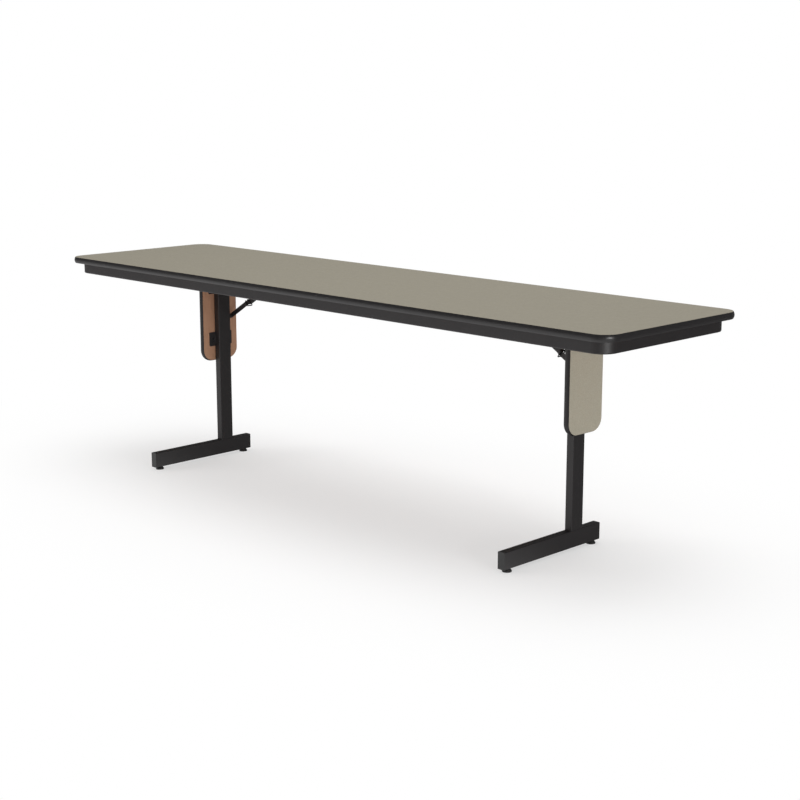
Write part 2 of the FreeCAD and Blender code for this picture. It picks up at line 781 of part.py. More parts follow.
def lock_ring(name, side):
    """A loop of wire that hangs on the channel, slides over the knee and locks the links in line.

    It is open above the flat bar, which passes there when the knee bends. The open side has to
    stay uppermost, so the left ring is built at the mirrored station and not turned over.
    """
    body = new_body(f"{name}_lock_ring")
    spine = new_sketch(body, "YZ_Plane", "Loop", f"{side} * ring_station")
    low, high = "-ring_low + ring_bend", "ring_high - ring_bend"
    front, back = "ring_front + ring_bend", "ring_back - ring_bend"
    outline(spine, [
        ("ring_front", "channel_depth / 2"),
        ("ring_front", low, front, low),
        (front, "-ring_low"),
        (back, "-ring_low", back, low),
        ("ring_back", low),
        ("ring_back", high, back, high),
        (back, "ring_high"),
        ("web_front + face_gap", "ring_high"),
    ], closed=False)
    profile = new_sketch(body, "XY_Plane", "Wire", "channel_depth / 2")
    polygon(profile, f"{side} * ring_station", "ring_front", "ring_wire", 8)
    doc.recompute()
    sweep(body, profile, spine)
    return body


def brace(name, side):
    slope = math.degrees(math.atan2(amount("brace_drop"), amount("brace_reach")))
    turn = ((0, 1, 0), slope if side > 0 else 180 - slope)
    link_x = f"{side} * (leg_offset - brace_reach)"
    knee_x = f"{link_x} + {side} * upper_link_length * brace_reach / brace_span"
    knee_z = "pivot_height - upper_link_length * brace_drop / brace_span"
    pieces = [place(upper_link(name), link_x, "leg_setback", "pivot_height", turn)]
    pieces.append(place(lock_ring(name, side), link_x, "leg_setback", "pivot_height",
                        ((0, 1, 0), side * slope)))
    pieces += [place(piece, knee_x, "leg_setback", knee_z, turn)
               for piece in (lower_link(name), *knee_rivet(name))]
    return pieces


# %% Build, check and write
def check(node):
    """Stop on a failed object or an unsound shape."""
    shape = node.Shape
    if shape.isNull() or not shape.isValid() or not shape.Solids:
        raise RuntimeError(f"{node.Label}: the shape is not sound")


nodes = table_top()
for side_name, side_sign in SIDES.items():
    nodes += hinge_fittings(side_name, side_sign)
    nodes += brace_fittings(side_name, side_sign)
    nodes += leg(side_name, side_sign)
    nodes += brace(side_name, side_sign)
doc.recompute()

for thing in doc.Objects:
    if "Invalid" in thing.State or "Error" in thing.State:
        raise RuntimeError(f"{thing.Label}: {thing.State}")
os.makedirs("parts", exist_ok=True)
for node in nodes:
    check(node)
for node in nodes:
    node.Shape.exportStep(f"parts/{node.Label}.step")

print(len(nodes), "nodes")
for word in ("pivot_height", "upper_link_length", "lower_link_length", "ring_station"):
    print(word, round(amount(word), 3))
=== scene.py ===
# %% [markdown]
# # A folding training table, finished in Blender
#
# The CAD frame holds every rigid piece of this table: the long top, the steel apron, the two T
# legs with their side panels, and the braces. This lesson gives each of them its real finish, and
# adds what is too small for the CAD: wood screws and weld beads. All lengths are in metres, and
# nothing that came from the CAD is moved.

# %% Load the frame
import json
import math
import random

import bmesh
import bpy
from mathutils import Matrix, Vector


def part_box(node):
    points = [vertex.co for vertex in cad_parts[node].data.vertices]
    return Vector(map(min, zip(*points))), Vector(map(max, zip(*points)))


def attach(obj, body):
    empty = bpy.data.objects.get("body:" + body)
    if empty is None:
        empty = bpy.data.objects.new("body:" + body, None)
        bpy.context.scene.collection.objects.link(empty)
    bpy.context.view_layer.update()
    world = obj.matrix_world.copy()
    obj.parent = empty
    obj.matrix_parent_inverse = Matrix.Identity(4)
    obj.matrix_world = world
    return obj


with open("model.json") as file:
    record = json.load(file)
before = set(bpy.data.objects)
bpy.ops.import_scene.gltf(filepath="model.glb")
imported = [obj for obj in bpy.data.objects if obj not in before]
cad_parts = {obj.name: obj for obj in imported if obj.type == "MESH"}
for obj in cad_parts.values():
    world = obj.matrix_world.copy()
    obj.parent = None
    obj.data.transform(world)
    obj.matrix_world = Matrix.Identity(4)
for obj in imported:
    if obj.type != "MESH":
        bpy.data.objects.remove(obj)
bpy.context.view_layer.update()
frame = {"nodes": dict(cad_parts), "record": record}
random.seed(7)

# %% [markdown]
# ## Camera
#
# The photograph looks down at the front right corner from a little above the top. Its vanishing
# lines fit a 70 mm lens on a full frame, turned 45 degrees and tipped down by 12. A longer lens
# from further away would flatten the table, so the lens is kept as it was measured.

# %% Set the camera
LENS, SENSOR_WIDTH = 70.0, 36.0  # millimetres
EYE = (3.604, -3.435, 1.400)
TURN, TIP = math.radians(45), math.radians(12)
looking = Vector((-math.sin(TURN) * math.cos(TIP), math.cos(TURN) * math.cos(TIP), -math.sin(TIP)))
camera = bpy.data.objects.new("camera", bpy.data.cameras.new("camera"))
bpy.context.scene.collection.objects.link(camera)
camera.data.lens = LENS
camera.data.sensor_width = SENSOR_WIDTH
camera.location = EYE
camera.rotation_mode = "QUATERNION"
camera.rotation_quaternion = looking.to_track_quat("-Z", "Y")
bpy.context.scene.camera = camera
bpy.context.scene.view_settings.view_transform = "Standard"
print("camera", tuple(round(v, 3) for v in camera.location), "lens", camera.data.lens)

# %% [markdown]
# ## Studio
#
# The photograph shows the table on plain white. A white floor that fades into a white background
# gives that, and the floor still takes the table's shadow close to it. Gloss tells more about a
# room than colour does. The moulding is dark above its middle and light below it, sides that face
# right are darker than the front, and the front darkens just before it turns the corner. So the
# floor is bright in front of the table, dimmer far off and behind it, with a dark gap straight
# ahead of the right end, and the air above is dim. Gloss sees that, and the camera sees white.

# %% Node helpers
def new_material(name):
    """An empty node material, its node tree and its principled shader."""
    material = bpy.data.materials.new(name)
    material.use_nodes = True
    return material, material.node_tree, material.node_tree.nodes["Principled BSDF"]


def add_node(tree, kind, **values):
    """A node with its properties and its unlinked inputs set by name."""
    node = tree.nodes.new(kind)
    for key, value in values.items():
        if hasattr(node, key) and key not in {i.name for i in node.inputs}:
            setattr(node, key, value)
        else:
            node.inputs[key.replace("_", " ")].default_value = value
    return node


def math_of(tree, operation, first, second):
    """The result of a math node on two sockets."""
    node = add_node(tree, "ShaderNodeMath", operation=operation)
    tree.links.new(first, node.inputs[0])
    tree.links.new(second, node.inputs[1])
    return node.outputs["Value"]


def graded(tree, value, span, result, interpolation="SMOOTHSTEP"):
    """A value that goes through a span, mapped from the first to the last of a result."""
    node = add_node(tree, "ShaderNodeMapRange", interpolation_type=interpolation)
    ends = ("From Min", "From Max", "To Min", "To Max")
    for socket, number in zip(ends, (*span, *result)):
        node.inputs[socket].default_value = number
    tree.links.new(value, node.inputs["Value"])
    return node.outputs["Result"]


def looks(tree, share=None):
    """1 for a ray that looks at the background, mirrors it or sees it through glass.

    A share lowers what the camera sees of it, and leaves mirrors and glass as they are."""
    path = add_node(tree, "ShaderNodeLightPath")
    mirrored = math_of(tree, "MAXIMUM", path.outputs["Is Glossy Ray"],
                       path.outputs["Is Transmission Ray"])
    seen = path.outputs["Is Camera Ray"]
    if share:
        seen = math_of(tree, "MULTIPLY", seen, share)
    return math_of(tree, "MAXIMUM", seen, mirrored)


def white_to_camera(tree, strength):
    """1 for the camera, and a strength of up to 1 for every other ray."""
    path = add_node(tree, "ShaderNodeLightPath")
    return math_of(tree, "MAXIMUM", path.outputs["Is Camera Ray"], strength)


print("node helpers ready")

# %% Floor
FLOOR_RADIUS = 40.0
PATCH = (1.7, 0.95)  # half axes of the ellipse that shows the shadow
# Each fade is a span, and what it is mapped to.
PATCH_FADE = (0.35, 1.30), (0.45, 1.0)  # the share of plain white, from the ellipse's middle
FAR_FADE = (2.0, 5.5), (1.0, 0.45)  # the mirrored floor, from the table outwards
REAR_FADE = (-0.38, 0.12), (1.0, 0.20)  # the mirrored floor, from the front to the rear
GAP = (1.45, -2.9, 0)
GAP_FADE = (0.6, 1.7), (0.15, 1.0)  # the mirrored floor, from the gap's middle outwards

bpy.ops.mesh.primitive_circle_add(vertices=96, radius=FLOOR_RADIUS, fill_type="NGON",
                                  location=(0, 0, 0))
floor = bpy.context.object
floor.name = "studio_floor"
white, tree, shader = new_material("white_floor")
shader.inputs["Base Color"].default_value = (0.90, 0.90, 0.90, 1)
shader.inputs["Roughness"].default_value = 0.8
shader.inputs["Specular IOR Level"].default_value = 0.1
place = add_node(tree, "ShaderNodeTexCoord")
ellipse = add_node(tree, "ShaderNodeMapping", Scale=(1 / PATCH[0], 1 / PATCH[1], 0))
length = add_node(tree, "ShaderNodeVectorMath", operation="LENGTH")
distance = add_node(tree, "ShaderNodeVectorMath", operation="LENGTH")
depth = add_node(tree, "ShaderNodeSeparateXYZ")
gap = add_node(tree, "ShaderNodeVectorMath", operation="DISTANCE")
gap.inputs[1].default_value = GAP
glow = add_node(tree, "ShaderNodeEmission")
mix = add_node(tree, "ShaderNodeMixShader")
for socket in (ellipse.inputs["Vector"], distance.inputs[0], depth.inputs["Vector"], gap.inputs[0]):
    tree.links.new(place.outputs["Object"], socket)
tree.links.new(ellipse.outputs["Vector"], length.inputs[0])
plain = graded(tree, length.outputs["Value"], *PATCH_FADE)
room = math_of(tree, "MULTIPLY", graded(tree, distance.outputs["Value"], *FAR_FADE),
               graded(tree, depth.outputs["Y"], *REAR_FADE))
room = math_of(tree, "MULTIPLY", room, graded(tree, gap.outputs["Value"], *GAP_FADE))
tree.links.new(white_to_camera(tree, room), glow.inputs["Strength"])
tree.links.new(looks(tree, plain), mix.inputs["Fac"])
tree.links.new(shader.outputs["BSDF"], mix.inputs[1])
tree.links.new(glow.outputs["Emission"], mix.inputs[2])
tree.links.new(mix.outputs["Shader"], tree.nodes["Material Output"].inputs["Surface"])
floor.data.materials.append(white)
print("the floor fades to white within", round(PATCH[0] * PATCH_FADE[0][1], 2), "m along the table")

# %% World
SOFT_STRENGTH = 0.60  # the light that falls on the table from all round
SKY_FADE = (-0.02, 0.10), (0.35, 0.10)  # the mirrored air, from the horizon upwards

world = bpy.data.worlds.new("studio")
bpy.context.scene.world = world
world.use_nodes = True
tree = world.node_tree
soft = tree.nodes["Background"]
soft.inputs["Color"].default_value = (1, 1, 1, 1)
soft.inputs["Strength"].default_value = SOFT_STRENGTH
backdrop = add_node(tree, "ShaderNodeBackground", Color=(1, 1, 1, 1))
place = add_node(tree, "ShaderNodeTexCoord")
axes = add_node(tree, "ShaderNodeSeparateXYZ")
tree.links.new(place.outputs["Generated"], axes.inputs["Vector"])
dim = graded(tree, axes.outputs["Z"], *SKY_FADE)
tree.links.new(white_to_camera(tree, dim), backdrop.inputs["Strength"])
mix = add_node(tree, "ShaderNodeMixShader")
tree.links.new(looks(tree), mix.inputs["Fac"])
tree.links.new(soft.outputs["Background"], mix.inputs[1])
tree.links.new(backdrop.outputs["Background"], mix.inputs[2])
tree.links.new(mix.outputs["Shader"], tree.nodes["World Output"].inputs["Surface"])
print("soft light of strength", SOFT_STRENGTH)

# %% [markdown]
# ## Lamps
#
# Three soft boxes give the top, the front and the right end a plain level of light each. A small
# hard lamp would draw sharp shadows that the photograph lacks. The box at the front left would
# show as a bright band in the moulding, so gloss doesn't see it.

# %% Place the lamps
def softbox(name, place, aim, width, height, watts):
    """A rectangular area lamp that faces a point."""
    lamp = bpy.data.objects.new(name, bpy.data.lights.new(name, "AREA"))
    lamp.data.shape = "RECTANGLE"
    lamp.data.size, lamp.data.size_y = width, height
    lamp.data.energy = watts
    lamp.location = place
    lamp.rotation_mode = "QUATERNION"
    lamp.rotation_quaternion = (Vector(aim) - Vector(place)).to_track_quat("-Z", "Y")
    bpy.context.scene.collection.objects.link(lamp)
    return lamp


softbox("overhead_softbox", (-0.2, 0.7, 6.0), (0, 0, 0.4), 4.0, 4.0, 170)
front_left = softbox("front_left_softbox", (-5.0, -5.4, 0.75), (0, 0, 0.6), 3.5, 1.4, 350)
front_left.visible_glossy = False
softbox("right_softbox", (8.4, -2.4, 1.3), (0, 0, 0.4), 3.0, 2.2, 290)

# %% [markdown]
# ## Decorative laminate
#
# The top and the outer side of each leg panel carry the same beige-grey laminate: a printed paper
# under clear resin with a very fine speckle. A printed image could show it, but a few layers of
# noise at a millimetre's scale give the same look at any distance and need no picture. The resin
# surface is matt, with a faint texture that only the softest bump shows.

# %% Material helpers
def noise(tree, scale, detail, roughness, stretch=None):
    """A noise texture in the piece's own metres, stretched if asked."""
    place = add_node(tree, "ShaderNodeTexCoord")
    texture = add_node(tree, "ShaderNodeTexNoise", Scale=scale, Detail=detail, Roughness=roughness)
    if stretch:
        mapping = add_node(tree, "ShaderNodeMapping", Scale=stretch)
        tree.links.new(place.outputs["Object"], mapping.inputs["Vector"])
        tree.links.new(mapping.outputs["Vector"], texture.inputs["Vector"])
    else:
        tree.links.new(place.outputs["Object"], texture.inputs["Vector"])
    return texture


def ramp(tree, value, stops):
    """A colour ramp over a value, from (position, colour) stops."""
    node = add_node(tree, "ShaderNodeValToRGB")
    while len(node.color_ramp.elements) < len(stops):
        node.color_ramp.elements.new(0.5)
    for element, (position, colour) in zip(node.color_ramp.elements, stops):
        element.position = position
        element.color = (*colour, 1)
    tree.links.new(value, node.inputs["Fac"])
    return node


def mixed(tree, factor, first, second):
    """Two colours mixed by a factor. Each may be a value or a socket."""
    node = add_node(tree, "ShaderNodeMix", data_type="RGBA")
    sockets = node.inputs["Factor"], node.inputs[6], node.inputs[7]
    for socket, value in zip(sockets, (factor, first, second)):
        if isinstance(value, bpy.types.NodeSocket):
            tree.links.new(value, socket)
        elif isinstance(value, tuple):
            socket.default_value = (*value, 1)
        else:
            socket.default_value = value
    return node.outputs[2]


def spread(tree, value, low, high, start=0.3, end=0.7):
    """A texture's value from start to end, mapped evenly from low to high."""
    return graded(tree, value, (start, end), (low, high), "LINEAR")


def bump(tree, shader, height, depth, strength):
    """A bump of a real depth in metres on the shader."""
    node = add_node(tree, "ShaderNodeBump", Strength=strength, Distance=depth)
    tree.links.new(height, node.inputs["Height"])
    tree.links.new(node.outputs["Normal"], shader.inputs["Normal"])


def shade_of(colour, factor):
    """A colour made darker or lighter, and never above white."""
    return tuple(min(1, c * factor) for c in colour)


print("material helpers ready")

# %% Laminate
LAMINATE = (0.323, 0.299, 0.237)


def make_laminate(name):
    """A fine speckle, pale and dark flecks of 1.5 mm, and a slow warm drift."""
    material, tree, shader = new_material(name)
    fine = noise(tree, 900, 3.0, 0.6)
    cloud = noise(tree, 60, 4.0, 0.6)
    base = ramp(tree, fine.outputs["Fac"], [(0.35, shade_of(LAMINATE, 0.86)), (0.5, LAMINATE),
                                            (0.66, shade_of(LAMINATE, 1.10))])
    place = add_node(tree, "ShaderNodeTexCoord")
    fleck = add_node(tree, "ShaderNodeTexVoronoi", feature="F1", Scale=650.0)
    tree.links.new(place.outputs["Object"], fleck.inputs["Vector"])
    grain = add_node(tree, "ShaderNodeSeparateColor")
    tree.links.new(fleck.outputs["Color"], grain.inputs["Color"])
    pale = spread(tree, grain.outputs["Red"], 0.0, 0.55, 0.90, 0.93)
    deep = spread(tree, grain.outputs["Green"], 0.0, 0.55, 0.90, 0.93)
    warm = spread(tree, cloud.outputs["Fac"], 0.0, 0.22)
    tint = mixed(tree, pale, base.outputs["Color"], shade_of(LAMINATE, 1.28))
    tint = mixed(tree, deep, tint, shade_of(LAMINATE, 0.70))
    tint = mixed(tree, warm, tint, (LAMINATE[0] * 1.05, LAMINATE[1] * 0.99, LAMINATE[2] * 0.93))
    tree.links.new(tint, shader.inputs["Base Color"])
    tree.links.new(spread(tree, cloud.outputs["Fac"], 0.42, 0.52), shader.inputs["Roughness"])
    shader.inputs["Specular IOR Level"].default_value = 0.35
    bump(tree, shader, fine.outputs["Fac"], 0.00004, 0.5)
    return material


finishes = {"top_laminate": make_laminate("speckled_laminate_top"),
            "panel_laminate": make_laminate("speckled_laminate_panel")}
print("laminate colour", LAMINATE)

# %% [markdown]
# ## Edge moulding
#
# A black extruded vinyl strip covers the board's edge, held by a barb in a groove. An extruder
# leaves very fine lines along the strip and a satin skin. Lines that run level round the whole
# edge come from noise squeezed in height only, so one material serves all four sides of the top.
# The panels' strips run upright for most of their length, so theirs is squeezed across instead.

# %% Vinyl
LINES_PER_METRE = 2600


def make_vinyl(name, stretch, gloss):
    """Fine extrusion lines along the strip, and a satin skin that varies a little."""
    material, tree, shader = new_material(name)
    lines = noise(tree, 1.0, 3.0, 0.6, stretch)
    skin = noise(tree, 45, 3.0, 0.5)
    tint = mixed(tree, skin.outputs["Fac"], (0.0116, 0.0104, 0.0107), (0.0158, 0.0142, 0.0146))
    tree.links.new(tint, shader.inputs["Base Color"])
    tree.links.new(spread(tree, skin.outputs["Fac"], 0.30, 0.38), shader.inputs["Roughness"])
    shader.inputs["Specular IOR Level"].default_value = gloss
    bump(tree, shader, lines.outputs["Fac"], 0.00003, 0.6)
    return material


finishes["black_vinyl"] = make_vinyl("black_vinyl_top_edge", (3, 3, LINES_PER_METRE), 0.45)
vinyl_upright = make_vinyl("black_vinyl_panel_edge", (LINES_PER_METRE, 3, 3), 0.32)
print("vinyl lines are", round(1000 / LINES_PER_METRE, 2), "mm apart")

# %% [markdown]
# ## Powder coat
#
# Apron, legs, plates, brackets and links are steel under a black powder coat. Close up it has an
# orange-peel skin about a millimetre across, because the powder melts and flows. Two noises do it:
# a soft one for the peel and a finer one for the grit that breaks the highlight.

# %% Powder coat
def make_powder_coat(name):
    """Orange peel with grit on it, and a slow drift of the black."""
    material, tree, shader = new_material(name)
    peel = noise(tree, 620, 2.0, 0.4)
    grit = noise(tree, 2600, 1.0, 0.5)
    drift = noise(tree, 14, 3.0, 0.5)
    tint = mixed(tree, drift.outputs["Fac"], (0.0104, 0.0088, 0.0093), (0.0148, 0.0127, 0.0133))
    tree.links.new(tint, shader.inputs["Base Color"])
    tree.links.new(spread(tree, grit.outputs["Fac"], 0.41, 0.52), shader.inputs["Roughness"])
    shader.inputs["Specular IOR Level"].default_value = 0.54
    height = mixed(tree, 0.3, peel.outputs["Fac"], grit.outputs["Fac"])
    bump(tree, shader, height, 0.00006, 0.55)
    return material


finishes["black_enamel"] = make_powder_coat("black_powder_coat")
print("powder coat ready")

# %% [markdown]
# ## Moulded plastics
#
# The foot caps and glides are moulded in black plastic with a fine spark texture, and the hinge
# bushes in natural nylon. Nylon lets a little light in, so it gets some subsurface scattering.
# The texture is a cell pattern rather than noise, because spark erosion leaves round pits.

# %% Plastics
def make_moulded(name, colour, roughness, pit_depth, light_depth=0.0):
    """Round pits over a cloudy colour. Light goes light_depth metres into the piece."""
    material, tree, shader = new_material(name)
    place = add_node(tree, "ShaderNodeTexCoord")
    pit = add_node(tree, "ShaderNodeTexVoronoi", feature="SMOOTH_F1", Scale=1400.0)
    tree.links.new(place.outputs["Object"], pit.inputs["Vector"])
    cloud = noise(tree, 55, 2.0, 0.5)
    tint = mixed(tree, cloud.outputs["Fac"], colour, shade_of(colour, 1.25))
    tree.links.new(tint, shader.inputs["Base Color"])
    tree.links.new(spread(tree, cloud.outputs["Fac"], roughness - 0.04, roughness + 0.05),
                   shader.inputs["Roughness"])
    shader.inputs["Specular IOR Level"].default_value = 0.48
    if light_depth:
        shader.inputs["Subsurface Weight"].default_value = 0.35
        shader.inputs["Subsurface Radius"].default_value = (light_depth, light_depth, light_depth)
        shader.inputs["Subsurface Scale"].default_value = 1.0
    bump(tree, shader, pit.outputs["Distance"], pit_depth, 0.5)
    return material


BLACK, NYLON = (0.0130, 0.0128, 0.0130), (0.62, 0.60, 0.53)
finishes["black_plastic"] = make_moulded("black_moulded_plastic", BLACK, 0.42, 0.00005)
finishes["white_nylon"] = make_moulded("natural_nylon", NYLON, 0.38, 0.00002, 0.002)
print("plastics ready")

# %% [markdown]
# ## Zinc-plated steel
#
# The hinge rods, the rivets of the brace brackets and most wood screws are bright zinc plate over
# turned steel. It is a metal, so its colour is in the reflection. A fine grain in its roughness and
# a faint bluish drift keep it from looking like a mirror.

# %% Zinc
def make_zinc(name):
    """A bright metal with a grain of a millimetre and a bluish drift."""
    material, tree, shader = new_material(name)
    grain = noise(tree, 900, 3.0, 0.6)
    cloud = noise(tree, 90, 3.0, 0.5)
    tint = mixed(tree, cloud.outputs["Fac"], (0.50, 0.51, 0.53), (0.66, 0.66, 0.64))
    tree.links.new(tint, shader.inputs["Base Color"])
    shader.inputs["Metallic"].default_value = 1.0
    tree.links.new(spread(tree, grain.outputs["Fac"], 0.26, 0.42), shader.inputs["Roughness"])
    bump(tree, shader, grain.outputs["Fac"], 0.00002, 0.5)
    return material


finishes["zinc_steel"] = make_zinc("zinc_plate")
print("zinc ready")

# %% [markdown]
# ## Blackened wire
#
# The lock ring slides on the brace each time the table folds, so it is bare drawn wire with a thin
# black oxide and not paint, which would scrape off. The panels' screws are blackened too. Such a
# finish is darker than zinc but still a metal, and it is rubbed a little brighter in places.

# %% Black oxide
def make_black_oxide(name):
    """A dark metal, rubbed brighter where a slow noise is high."""
    material, tree, shader = new_material(name)
    drawn = noise(tree, 1400, 2.0, 0.5)
    rub = noise(tree, 130, 3.0, 0.6)
    worn = spread(tree, rub.outputs["Fac"], 0.0, 0.6, 0.5, 0.75)
    tint = mixed(tree, worn, (0.030, 0.030, 0.032), (0.16, 0.16, 0.165))
    tree.links.new(tint, shader.inputs["Base Color"])
    shader.inputs["Metallic"].default_value = 0.85
    tree.links.new(spread(tree, drawn.outputs["Fac"], 0.34, 0.50), shader.inputs["Roughness"])
    bump(tree, shader, drawn.outputs["Fac"], 0.00002, 0.5)
    return material


finishes["black_oxide"] = make_black_oxide("black_oxide_wire")
print("black oxide ready")

# %% [markdown]
# ## Board and backer
#
# The core is pressed wood chips, which only the moulding's groove would show. The backer is a
# brown resin-filled paper that keeps the board flat. It is plain to see on the inner side of each
# leg panel: a warm brown with fibres along the sheet, rubbed a little paler by handling.

# %% Board
CHIPS = (0.26, 0.17, 0.09), (0.44, 0.31, 0.18), (0.60, 0.46, 0.29)


def make_chipboard(name):
    """Flattened cells, each a chip with a brown and a height of its own."""
    material, tree, shader = new_material(name)
    place = add_node(tree, "ShaderNodeTexCoord")
    mapping = add_node(tree, "ShaderNodeMapping", Scale=(1.0, 2.2, 1.6))
    chips = add_node(tree, "ShaderNodeTexVoronoi", feature="F1", Scale=320.0)
    tree.links.new(place.outputs["Object"], mapping.inputs["Vector"])
    tree.links.new(mapping.outputs["Vector"], chips.inputs["Vector"])
    shade = add_node(tree, "ShaderNodeSeparateColor")
    tree.links.new(chips.outputs["Color"], shade.inputs["Color"])
    colour = ramp(tree, shade.outputs["Red"], list(zip((0.0, 0.5, 1.0), CHIPS)))
    tree.links.new(colour.outputs["Color"], shader.inputs["Base Color"])
    shader.inputs["Roughness"].default_value = 0.85
    bump(tree, shader, shade.outputs["Green"], 0.00015, 0.5)
    return material


finishes["chipboard"] = make_chipboard("pressed_chipboard")
print("board ready")

# %% Backer
BACKER = (0.33, 0.182, 0.112)


def make_backer(name, stretch):
    """Brown fibres along the sheet, with rubbed patches and dark specks."""
    material, tree, shader = new_material(name)
    fibre = noise(tree, 1.0, 4.0, 0.65, stretch)
    blotch = noise(tree, 16, 4.0, 0.55)
    fine = noise(tree, 1100, 2.0, 0.5)
    base = ramp(tree, fibre.outputs["Fac"], [(0.30, shade_of(BACKER, 0.80)), (0.5, BACKER),
                                             (0.70, shade_of(BACKER, 1.18))])
    rubbed = mixed(tree, spread(tree, blotch.outputs["Fac"], 0.0, 0.35), base.outputs["Color"],
                   (BACKER[0] * 1.30, BACKER[1] * 1.38, BACKER[2] * 1.45))
    speck = mixed(tree, spread(tree, fine.outputs["Fac"], 0.0, 0.25, 0.55, 0.75), rubbed,
                  shade_of(BACKER, 0.62))
    tree.links.new(speck, shader.inputs["Base Color"])
    shader.inputs["Roughness"].default_value = 0.68
    shader.inputs["Specular IOR Level"].default_value = 0.25
    bump(tree, shader, fibre.outputs["Fac"], 0.00005, 0.5)
    return material


finishes["backer_sheet"] = make_backer("brown_backer_top", (30, 420, 420))
backer_panel = make_backer("brown_backer_panel", (420, 420, 22))
print("backer colour", BACKER)

# %% [markdown]
# ## Finishes on the CAD pieces
#
# The record names a finish for each node, so one loop gives every CAD piece its material. Pieces
# whose grain runs another way take their own version. Not one vertex of the CAD is changed.

# %% Assign the finishes
SIDES = ("left", "right")

own_finish = {}
for side in SIDES:
    own_finish[f"{side}_panel_edge"] = vinyl_upright
    own_finish[f"{side}_panel_backer"] = backer_panel
for part in frame["record"]["subparts"]:
    node = frame["nodes"][part["node"]]
    node.data.materials.clear()
    node.data.materials.append(own_finish.get(part["node"], finishes[part["material_slot"]]))

# %% [markdown]
# ## Wood screws
#
# Screws hold the apron and the brackets to the board, and the panels to their plates. They have a
# pan head with a cross recess. One head is turned as a profile, the recess is cut by a boolean,
# and its mesh is copied to each place, so all the screws have one shape. The photograph shows no
# bright head on the panels' plates, so the screws there are blackened, and the others are zinc.

# %% Mesh helpers
def make_object(name, maker, material, body=None):
    """A piece from a bmesh, with its material, that rides on a body if one is given."""
    mesh = bpy.data.meshes.new(name)
    maker.to_mesh(mesh)
    maker.free()
    piece = bpy.data.objects.new(name, mesh)
    bpy.context.scene.collection.objects.link(piece)
    mesh.materials.append(material)
    if body:
        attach(piece, body)
    return piece


def smoothed(piece):
    """The same piece with smooth faces."""
    for face in piece.data.polygons:
        face.use_smooth = True
    return piece


def turned(profile, segments=28):
    """A bmesh turned round Z from (radius, height) points, closed by a point at each end."""
    maker = bmesh.new()
    rings = []
    for radius, height in profile:
        if radius == 0:
            rings.append([maker.verts.new((0, 0, height))])
            continue
        angles = [2 * math.pi * k / segments for k in range(segments)]
        rings.append([maker.verts.new((radius * math.cos(angle), radius * math.sin(angle), height))
                      for angle in angles])
    for lower, upper in zip(rings, rings[1:]):
        for k in range(segments):
            n = (k + 1) % segments
            if len(lower) == 1:
                maker.faces.new((lower[0], upper[n], upper[k]))
            elif len(upper) == 1:
                maker.faces.new((lower[k], lower[n], upper[0]))
            else:
                maker.faces.new((lower[k], lower[n], upper[n], upper[k]))
    bmesh.ops.recalc_face_normals(maker, faces=maker.faces)
    return maker


def cross_prism(reach, half_width, low, high):
    """A prism whose section is a cross, as a driver's tip."""
    r, w = reach, half_width
    corners = [(r, -w), (r, w), (w, w), (w, r), (-w, r), (-w, w),
               (-r, w), (-r, -w), (-w, -w), (-w, -r), (w, -r), (w, -w)]
    maker = bmesh.new()
    face = maker.faces.new([maker.verts.new((x, y, low)) for x, y in corners])
    raised = bmesh.ops.extrude_face_region(maker, geom=[face])["geom"]
    top = [v for v in raised if isinstance(v, bmesh.types.BMVert)]
    bmesh.ops.translate(maker, vec=(0, 0, high - low), verts=top)
    bmesh.ops.recalc_face_normals(maker, faces=maker.faces)
    return maker


print("mesh helpers ready")

# %% One screw
# The tip is up along Z and the head's seat is at zero. HEAD and SHANK are radii.
HEAD, HEAD_HEIGHT, SHANK = 0.0045, 0.0028, 0.0021
RECESS_REACH, RECESS_HALF_WIDTH = 0.0025, 0.00055
RECESS_LOW, RECESS_HIGH = -0.0037, -0.0009  # from below the head to the recess's floor

tip = [(0, 0.014), (SHANK * 0.3, 0.0125), (SHANK, 0.0095), (SHANK, 0.0)]
head = [(HEAD, 0.0), (HEAD, -0.0007), (HEAD * 0.93, -0.0016), (HEAD * 0.74, -0.0023),
        (HEAD * 0.45, -0.00265), (0, -HEAD_HEIGHT)]
recess = cross_prism(RECESS_REACH, RECESS_HALF_WIDTH, RECESS_LOW, RECESS_HIGH)
blank = make_object("screw_blank", turned(tip + head), finishes["zinc_steel"])
cutter = make_object("recess_cutter", recess, finishes["zinc_steel"])
cut = blank.modifiers.new("recess", "BOOLEAN")
cut.object = cutter
cut.operation = "DIFFERENCE"
cut.solver = "EXACT"
bpy.context.view_layer.update()
screw_mesh = bpy.data.meshes.new_from_object(
    blank.evaluated_get(bpy.context.evaluated_depsgraph_get()))
for helper in (blank, cutter):
    bpy.data.objects.remove(helper, do_unlink=True)
print("one screw has", len(screw_mesh.polygons), "faces")

# %% Screw helper
SHARP = math.radians(35)  # the least turn between two faces that stays an edge


def place_screws(name, places, aim, body, slot="zinc_steel"):
    """Copies of the screw at the given points, driven along aim, as one piece."""
    turn = Vector((0, 0, 1)).rotation_difference(Vector(aim)).to_matrix().to_4x4()
    maker = bmesh.new()
    for point in places:
        copy = screw_mesh.copy()
        spin = Matrix.Rotation(random.uniform(0, math.pi), 4, "Z")
        copy.transform(Matrix.Translation(Vector(point)) @ turn @ spin)
        maker.from_mesh(copy)
        bpy.data.meshes.remove(copy)
    screws = smoothed(make_object(name, maker, finishes[slot], body))
    screws.data.set_sharp_from_angle(angle=SHARP)
    print(name, len(places))


# %% Apron screws
UP = (0, 0, 1)
APRON_SHEET = 0.002
FLANGE_MIDDLE = 0.008  # inwards from the apron's outer face
ROW_X = (-0.95, -0.475, 0, 0.475, 0.95)
END_Y = (-0.13, 0.13)

